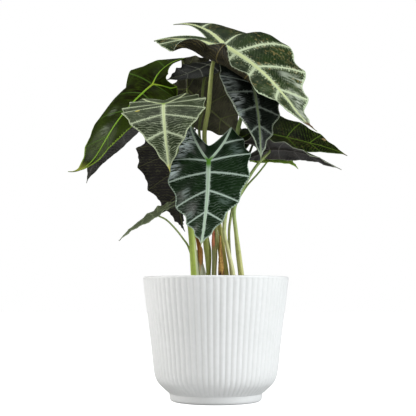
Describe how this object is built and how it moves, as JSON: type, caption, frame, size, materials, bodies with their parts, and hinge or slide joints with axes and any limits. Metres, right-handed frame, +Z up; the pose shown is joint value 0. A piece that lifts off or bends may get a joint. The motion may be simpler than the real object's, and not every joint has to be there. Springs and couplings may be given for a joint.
{
  "type": "potted alocasia plant",
  "caption": "Houseplant with arrow-shaped, pale-veined dark leaves on long stalks, in a white cover pot with fine upright flutes and a smooth foot ring.",
  "frame": {"origin": "centre of the pot's flat underside", "axes": "+Z up, -Y toward the front of the plant as seen in the picture, +X to its right"},
  "size_m": [0.2717, 0.1912, 0.3902],
  "materials": {
    "white_ceramic": "satin, with fine upright flutes",
    "soil": "matt, crumbly potting soil",
    "stalk_green": "smooth, slightly waxy leaf stalk",
    "brown_root_stock": "rough, scarred",
    "dry_sheath": "matt, papery",
    "blade_top": "glossy leaf blade with pale veins, dull underside",
    "blade_left": "glossy leaf blade with pale veins, dull underside",
    "blade_left_back": "glossy leaf blade with pale veins, dull underside",
    "blade_left_front": "glossy leaf blade with pale veins, dull underside",
    "blade_front": "glossy leaf blade with pale veins, dull underside",
    "blade_centre_right": "glossy leaf blade with pale veins, dull underside",
    "blade_right": "glossy leaf blade with pale veins, dull underside",
    "blade_right_low": "glossy leaf blade with pale veins, dull underside",
    "blade_small_right": "glossy leaf blade with pale veins, dull underside",
    "blade_back_low": "glossy leaf blade with pale veins, dull underside",
    "blade_low_left": "glossy leaf blade with pale veins, dull underside",
    "blade_back": "glossy leaf blade with pale veins, dull underside",
    "blade_back_top": "glossy leaf blade with pale veins, dull underside"
  },
  "bodies": {
    "root": {"pot": "white_ceramic", "soil": "soil", "rhizome": "brown_root_stock", "sheath_pale": "dry_sheath", "sheath_brown": "dry_sheath", "sheath_red": "dry_sheath", "blade_top": "blade_top", "stalk_top": "stalk_green", "blade_left": "blade_left", "stalk_left": "stalk_green", "blade_left_back": "blade_left_back", "stalk_left_back": "stalk_green", "blade_left_front": "blade_left_front", "stalk_left_front": "stalk_green", "blade_front": "blade_front", "stalk_front": "stalk_green", "blade_centre_right": "blade_centre_right", "stalk_centre_right": "stalk_green", "blade_right": "blade_right", "stalk_right": "stalk_green", "blade_right_low": "blade_right_low", "stalk_right_low": "stalk_green", "blade_small_right": "blade_small_right", "stalk_small_right": "stalk_green", "blade_back_low": "blade_back_low", "stalk_back_low": "stalk_green", "blade_low_left": "blade_low_left", "stalk_low_left": "stalk_green", "blade_back": "blade_back", "stalk_back": "stalk_green", "blade_back_top": "blade_back_top", "stalk_back_top": "stalk_green"}
  },
  "joints": []
}
